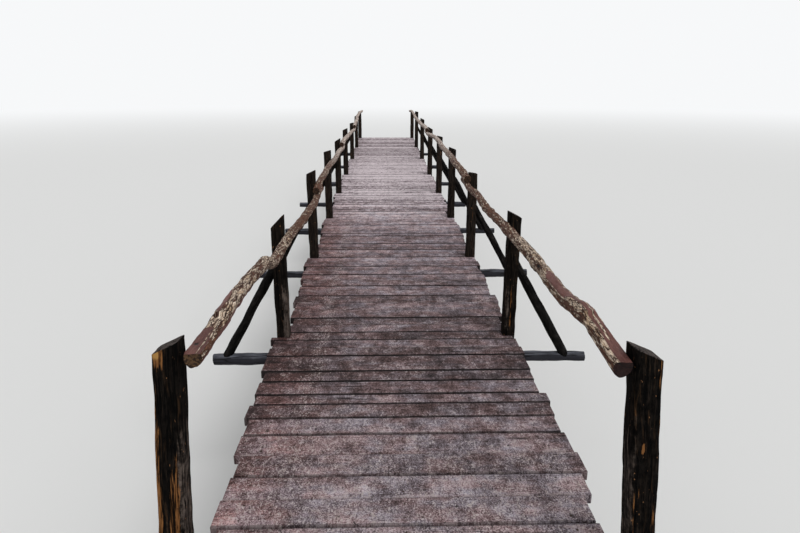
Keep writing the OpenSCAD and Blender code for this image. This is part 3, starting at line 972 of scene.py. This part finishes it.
def makePost(corners, name, seed):
    foot, head, side = postLine(corners)
    bottom, peak = corners[:, 2].min(), corners[:, 2].max()
    lean = math.atan2(head.x - foot.x, head.z - foot.z)
    top = corners[corners[:, 2] > peak - hewnPost["headPart"]]
    level = np.column_stack([top[:, 0], top[:, 1], np.ones(len(top))])
    fit = np.linalg.lstsq(level, top[:, 2], rcond=None)[0]   # the plane of the CAD top
    height = peak - bottom + hewnPost["spare"]
    post = fresh(bpy.ops.mesh.primitive_cube_add, size=1, location=(0, height / 2, 0))
    post.name = name
    post.scale = (side, height, side)
    settle(post)
    taper = hewnPost["taper"].get(name, hewnPost["taper"]["others"])
    pick(post, "VERT", lambda mesh, v: v.co.y > height / 2)
    bpy.ops.transform.resize(value=(taper, 1, taper), center_override=(0, height, 0))
    leave()
    pick(post, "EDGE", along(1, 0.5))
    bpy.ops.mesh.bevel(offset=hewnPost["arris"], segments=2)
    leave()
    cutAcross(post, 1, 0.5, int(height / hewnPost["rowEvery"]))
    for axis in (0, 2):
        cutAcross(post, axis, 0.05, hewnPost["faceCuts"])
    grainMap(post)
    dice = random.Random(seed)
    move = anywhere(dice)
    for marks in ("wave", "adze"):
        relief(post, *hewnPost[marks], move, middle=hewnPost["middle"])
    for mark in ("stripped", "greyed"):
        markPost(post, mark, hewnPost[mark].get(name, hewnPost[mark]["others"]), height, side)
    post.rotation_euler = (math.pi / 2, lean, 0)
    post.location = (foot.x - lean * (foot.z - bottom), foot.y, bottom)
    settle(post)

    # the slanted top, dished a little inside a rim
    slope = Vector((-fit[0], -fit[1] * hewnPost["backFall"], 1)).normalized()
    front = head.y - side / 2
    place = Vector((head.x, front, fit[0] * head.x + fit[1] * front + fit[2] - hewnPost["crown"]))
    enter(post)
    bpy.ops.mesh.bisect(plane_co=place, plane_no=slope, use_fill=True, clear_outer=True)
    bpy.ops.mesh.select_all(action="SELECT")
    bpy.ops.mesh.remove_doubles(threshold=0.002)
    leave()

    def isTop(mesh, face):
        return face.normal.dot(slope) > 0.99 and abs((face.center - place).dot(slope)) < 0.002

    pick(post, "FACE", isTop)
    for width in (hewnPost["rim"], hewnPost["rim"] * 2):
        bpy.ops.mesh.inset(thickness=width, depth=hewnPost["rim"] * 0.4, use_even_offset=False)
    leave()
    mesh = post.data
    pithX, pithY = head.x - hewnPost["pith"][0], head.y - hewnPost["pith"][1]
    mark = mesh.attributes["endWood"]
    layer = mesh.uv_layers[0]
    for face in mesh.polygons:
        onTop = face.normal.dot(slope) > 0.95 and (face.center - place).dot(slope) > -0.003
        mark.data[face.index].value = onTop
        for corner in face.loop_indices if onTop else ():
            spot = mesh.vertices[mesh.loops[corner].vertex_index].co
            layer.data[corner].uv = (spot.x - pithX, spot.y - pithY)
    setMark(post, "tone", dice.random())
    return post


postSpots = []   # where the posts pass the deck, and half the width of the notch for them
for bent in range(1, 10):
    node = "posts_%d" % bent
    pair = []
    for i, corners in enumerate(looseParts(node)):
        foot, head, side = postLine(corners)
        x = foot.x + (head.x - foot.x) * (hewnPost["deckLevel"] - foot.z) / (head.z - foot.z)
        postSpots.append((x, foot.y, side / 2 + hewnPost["room"]))
        pair.append(makePost(corners, "post%d%s" % (bent, "left" if x < 0 else "right"), bent * 10 + i))
    done(joinAll(pair, "posts%d" % bent), finishes["post"], "post_wood", node)
print("posts hewn")

# Crossbeams, braces, stringers and piles

roundWood = {
    "sides": 24,
    "ringEvery": 0.035,
    "lump": (0.09, 0.020, (1, 2.5, 1)),   # size, depth, stretch
    "lumpRadius": 0.045,                  # the radius that this depth is meant for
    "ripple": (0.022, 0.006, (1, 4, 1)),
    "crook": 0.010,
    "bends": 5,
}


def makeLog(name, start, end, thick, thin, seed, crook, sides=roundWood["sides"]):
    # a tapered round log from start to end, a little crooked
    start, end = Vector(start), Vector(end)
    length = (end - start).length
    dice = random.Random(seed)
    mean = (thick + thin) / 2
    log = straightLog(length, mean, sides, int(length / roundWood["ringEvery"]))
    grainMap(log)
    move = anywhere(dice)
    size, depth, stretch = roundWood["lump"]
    relief(log, size, depth * mean / roundWood["lumpRadius"], stretch, move)
    relief(log, *roundWood["ripple"], move)
    route = []
    for i in range(roundWood["bends"] + 1):
        share = i / roundWood["bends"]
        sway = 0 if share in (0, 1) else roundWood["crook"] * crook
        drift = Vector([dice.uniform(-sway, sway) for axis in range(3)])
        route.append((start.lerp(end, share) + drift, (thick + (thin - thick) * share) / mean))
    bendAlong(log, route)
    setMark(log, "tone", dice.random())
    log.name = name
    return log


def endRadius(corners, place):
    near = corners[np.abs(corners[:, 0] - place) < 0.001]
    return (near[:, 1].max() - near[:, 1].min()) / 2


crossbeam = {"room": 0.002, "crook": 0.6, "seed": 300}

for bent in range(1, 10):
    node = "crossbeam_%d" % bent
    corners = looseParts(node)[0]
    low, high = endsOf(corners)
    y, z = (low[1] + high[1]) / 2, (low[2] + high[2]) / 2
    left, right = low[0] + crossbeam["room"], high[0] - crossbeam["room"]
    beam = makeLog("crossbeam%d" % bent, (left, y, z), (right, y, z), endRadius(corners, low[0]),
                   endRadius(corners, high[0]), crossbeam["seed"] + bent, crossbeam["crook"])
    pressFlat(beam, 0, left, False)
    pressFlat(beam, 0, right, True)
    done(beam, finishes["beam"], "beam_wood", node)
print("crossbeams laid")

rakingBrace = {
    "foot": (1.295, 1.102),      # out from the middle, and up
    "head": (0.889, 1.82),
    "radii": (0.031, 0.028),
    "tuck": 0.045,               # runs this far into the post
    "crook": 0.5,
    "sides": 20,
    "seed": 400,
}

for bent in range(2, 9):
    node = "braces_%d" % bent
    low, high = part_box(node)
    y = (low[1] + high[1]) / 2
    pair = []
    for side in (-1, 1):
        foot, head = (Vector((side * out, y, z)) for out, z in (rakingBrace["foot"], rakingBrace["head"]))
        head += (head - foot).normalized() * rakingBrace["tuck"]
        pair.append(makeLog("brace", foot, head, *rakingBrace["radii"], rakingBrace["seed"] + bent * 2 + side,
                            rakingBrace["crook"], rakingBrace["sides"]))
    done(joinAll(pair, "braces%d" % bent), finishes["brace"], "post_wood", node)
print("braces set")

stringerLog = {"radius": 0.070, "taper": 0.94, "room": 0.001, "flat": 0.002, "flatRest": 0.02, "crook": 0.4,
               "sides": 20, "seed": 500}

for name in ("left", "middle", "right"):
    node = "stringer_" + name
    row = []
    for i, corners in enumerate(looseParts(node)):
        low, high = endsOf(corners)
        radius, room = stringerLog["radius"], stringerLog["room"]
        x, z = (low[0] + high[0]) / 2, low[2] + radius
        log = makeLog("log", (x, low[1] + room, z), (x, high[1] - room, z),
                      radius, radius * stringerLog["taper"], stringerLog["seed"] + i + 20 * len(name),
                      stringerLog["crook"], stringerLog["sides"])
        level = high[2]
        squash(log, lambda mesh, v: v.co.z > level - stringerLog["flat"], 2, level, stringerLog["flatRest"])
        row.append(log)
    done(joinAll(row, "stringer" + name.capitalize()), finishes["pile"], "pile_wood", node)
print("stringers laid")

roundPile = {"taper": 0.95, "headRoom": 0.02, "crook": 0.3, "seed": 600}

for name in ("left", "right"):
    node = "piles_" + name
    row = []
    for i, corners in enumerate(looseParts(node)):
        low, high = endsOf(corners)
        x, y = (low[0] + high[0]) / 2, (low[1] + high[1]) / 2
        radius = (high[0] - low[0]) / 2
        pile = makeLog("pile", (x, y, low[2]), (x, y, high[2] - roundPile["headRoom"]),
                       radius, radius * roundPile["taper"], roundPile["seed"] + i + 20 * len(name),
                       roundPile["crook"])
        pressFlat(pile, 2, low[2], False)
        row.append(pile)
    done(joinAll(row, "piles" + name.capitalize()), finishes["pile"], "pile_wood", node)
print("piles driven")

# Deck

deckPlank = {
    "size": (1.74, 0.16, 0.05),
    "edge": 0.004,
    "cuts": (62, 5, 1),
    "wave": (0.05, 0.005, (2, 1, 1)),   # size, depth, stretch
    "ripple": (0.014, 0.003, (2.5, 1, 1)),
    "middle": 0.45,
    "tilt": 0.5,      # degrees, as is the skew
    "skew": 0.10,
    "sink": 0.0015,
    "open": 0.005,    # a joint wider than this is an open one
}

deckNotch = {"length": 0.8, "height": 0.3, "level": 1.28, "turn": 0.01}


def makeFirstPlank():
    # one plank, sawn and worn round its edges, that all the others are copied from
    plank = fresh(bpy.ops.mesh.primitive_cube_add, size=1)
    plank.scale = deckPlank["size"]
    settle(plank)
    enter(plank)
    bpy.ops.mesh.bevel(offset=deckPlank["edge"], segments=2)
    leave()
    for axis, cuts in enumerate(deckPlank["cuts"]):
        cutAcross(plank, axis, deckPlank["size"][axis] * 0.5, cuts)
    return plank


def jointMark(plank, before, behind):
    # how open the joints in front of and behind a plank are
    middle = readAll(plank.data.polygons, "center", 3)[:, 1]
    setMark(plank, "joint", np.where(middle < (middle.min() + middle.max()) / 2, before, behind))


def makeFirstNail():
    # the head alone, cut off flat below
    nail = fresh(bpy.ops.mesh.primitive_uv_sphere_add, segments=10, ring_count=6, radius=deckNail["head"])
    nail.scale = (1, 1, deckNail["flat"])
    settle(nail)
    enter(nail)
    bpy.ops.mesh.bisect(plane_co=(0, 0, -deckNail["under"]), plane_no=(0, 0, -1), clear_outer=True,
                        use_fill=True)
    leave()
    return nail


def another(first, name):
    copy = first.copy()
    copy.data = first.data.copy()
    copy.name = name
    scene.collection.objects.link(copy)
    return copy


def plankMap(plank):
    # v runs from -0.5 to 0.5 across the plank
    mesh = plank.data
    place = points(mesh)
    at = place[readAll(mesh.loops, "vertex_index", kind=int)]
    low, high = place[:, 1].min(), place[:, 1].max()
    across = (at[:, 1] - (low + high) / 2) / (high - low)
    uvLayer(mesh).data.foreach_set("uv", np.column_stack([at[:, 0], across]).ravel())


def cutNotch(plank, x, y, half):
    # a notch for a post, open to the edge of the deck
    side = 1 if x > 0 else -1
    length = deckNotch["length"]
    tool = fresh(bpy.ops.mesh.primitive_cube_add, size=1, rotation=(0, 0, side * deckNotch["turn"]),
                 location=(x + side * length / 2, y, deckNotch["level"]))
    tool.scale = (length + half * 2, half * 2, deckNotch["height"])
    settle(tool)
    change(plank, "BOOLEAN", tool, object=tool, operation="DIFFERENCE")


def layPlank(low, high, dice):
    plank = another(firstPlank, "plank")
    plank.scale = [(high[i] - low[i]) / deckPlank["size"][i] for i in range(3)]
    plank.rotation_euler = (math.radians(dice.uniform(-1, 1) * deckPlank["tilt"]), 0,
                            math.radians(dice.uniform(-1, 1) * deckPlank["skew"]))
    middle = (low + high) / 2
    plank.location = (middle.x, middle.y, middle.z - dice.uniform(0, 1) * deckPlank["sink"])
    settle(plank)
    plankMap(plank)
    for x, y, half in postSpots:
        if low.y - half < y < high.y + half:
            cutNotch(plank, x, y, half)
    setMark(plank, "tone", dice.random())
    setMark(plank, "iron", 0)
    return plank


def driveNails(low, high, dice):
    strayX, strayY = deckNail["stray"]
    tilt = deckNail["tilt"]
    nails = []
    for row in (-deckNail["row"], 0, deckNail["row"]):
        for part in (-deckNail["across"], deckNail["across"]):
            nail = another(firstNail, "nail")
            nail.location = (row + dice.uniform(-strayX, strayX),
                             (low.y + high.y) / 2 + part * (high.y - low.y) + dice.uniform(-strayY, strayY),
                             high.z - deckNail["sink"])
            nail.rotation_euler = (dice.uniform(-tilt, tilt), dice.uniform(-tilt, tilt),
                                   dice.uniform(0, deckNail["turn"]))
            nails.append(nail)
    return nails


firstPlank = makeFirstPlank()
firstNail = makeFirstNail()
dice = random.Random(11)
bays = [sorted(looseParts("deck_bay_%d" % bay), key=lambda c: c[:, 1].min()) for bay in range(1, 9)]
starts = [corners[:, 1].min() for boards in bays for corners in boards] + [math.inf]
before, laid = 0, 0
for bay, solids in enumerate(bays, 1):
    planks, nails = [], []
    for corners in solids:
        low, high = (Vector(end) for end in endsOf(corners))
        planks.append(layPlank(low, high, dice))
        laid += 1
        behind = dice.random() / 2 + (0.5 if starts[laid] - high.y > deckPlank["open"] else 0)
        jointMark(planks[-1], before, behind)
        before = behind
        nails += driveNails(low, high, dice)
    boards = joinAll(planks, "deckBay%d" % bay)
    move = (dice.uniform(-5, 5), 0, 0)
    relief(boards, *deckPlank["wave"], move, "Z", deckPlank["middle"])
    relief(boards, *deckPlank["ripple"], move, middle=deckPlank["middle"])
    if bay in (1, len(bays)):
        pressFlat(boards, 1, cadBox[bay > 1][1], bay > 1)
    heads = joinAll(nails, "nails")
    settle(heads)
    for mark, value in (("tone", 0.5), ("joint", 0), ("iron", 1)):
        setMark(heads, mark, value)
    done(joinAll([boards, heads], "deckBay%d" % bay), finishes["deck"], "deck_wood", "deck_bay_%d" % bay,
         smooth=50)
bpy.data.objects.remove(firstPlank)
bpy.data.objects.remove(firstNail)
print("deck boards nailed down")
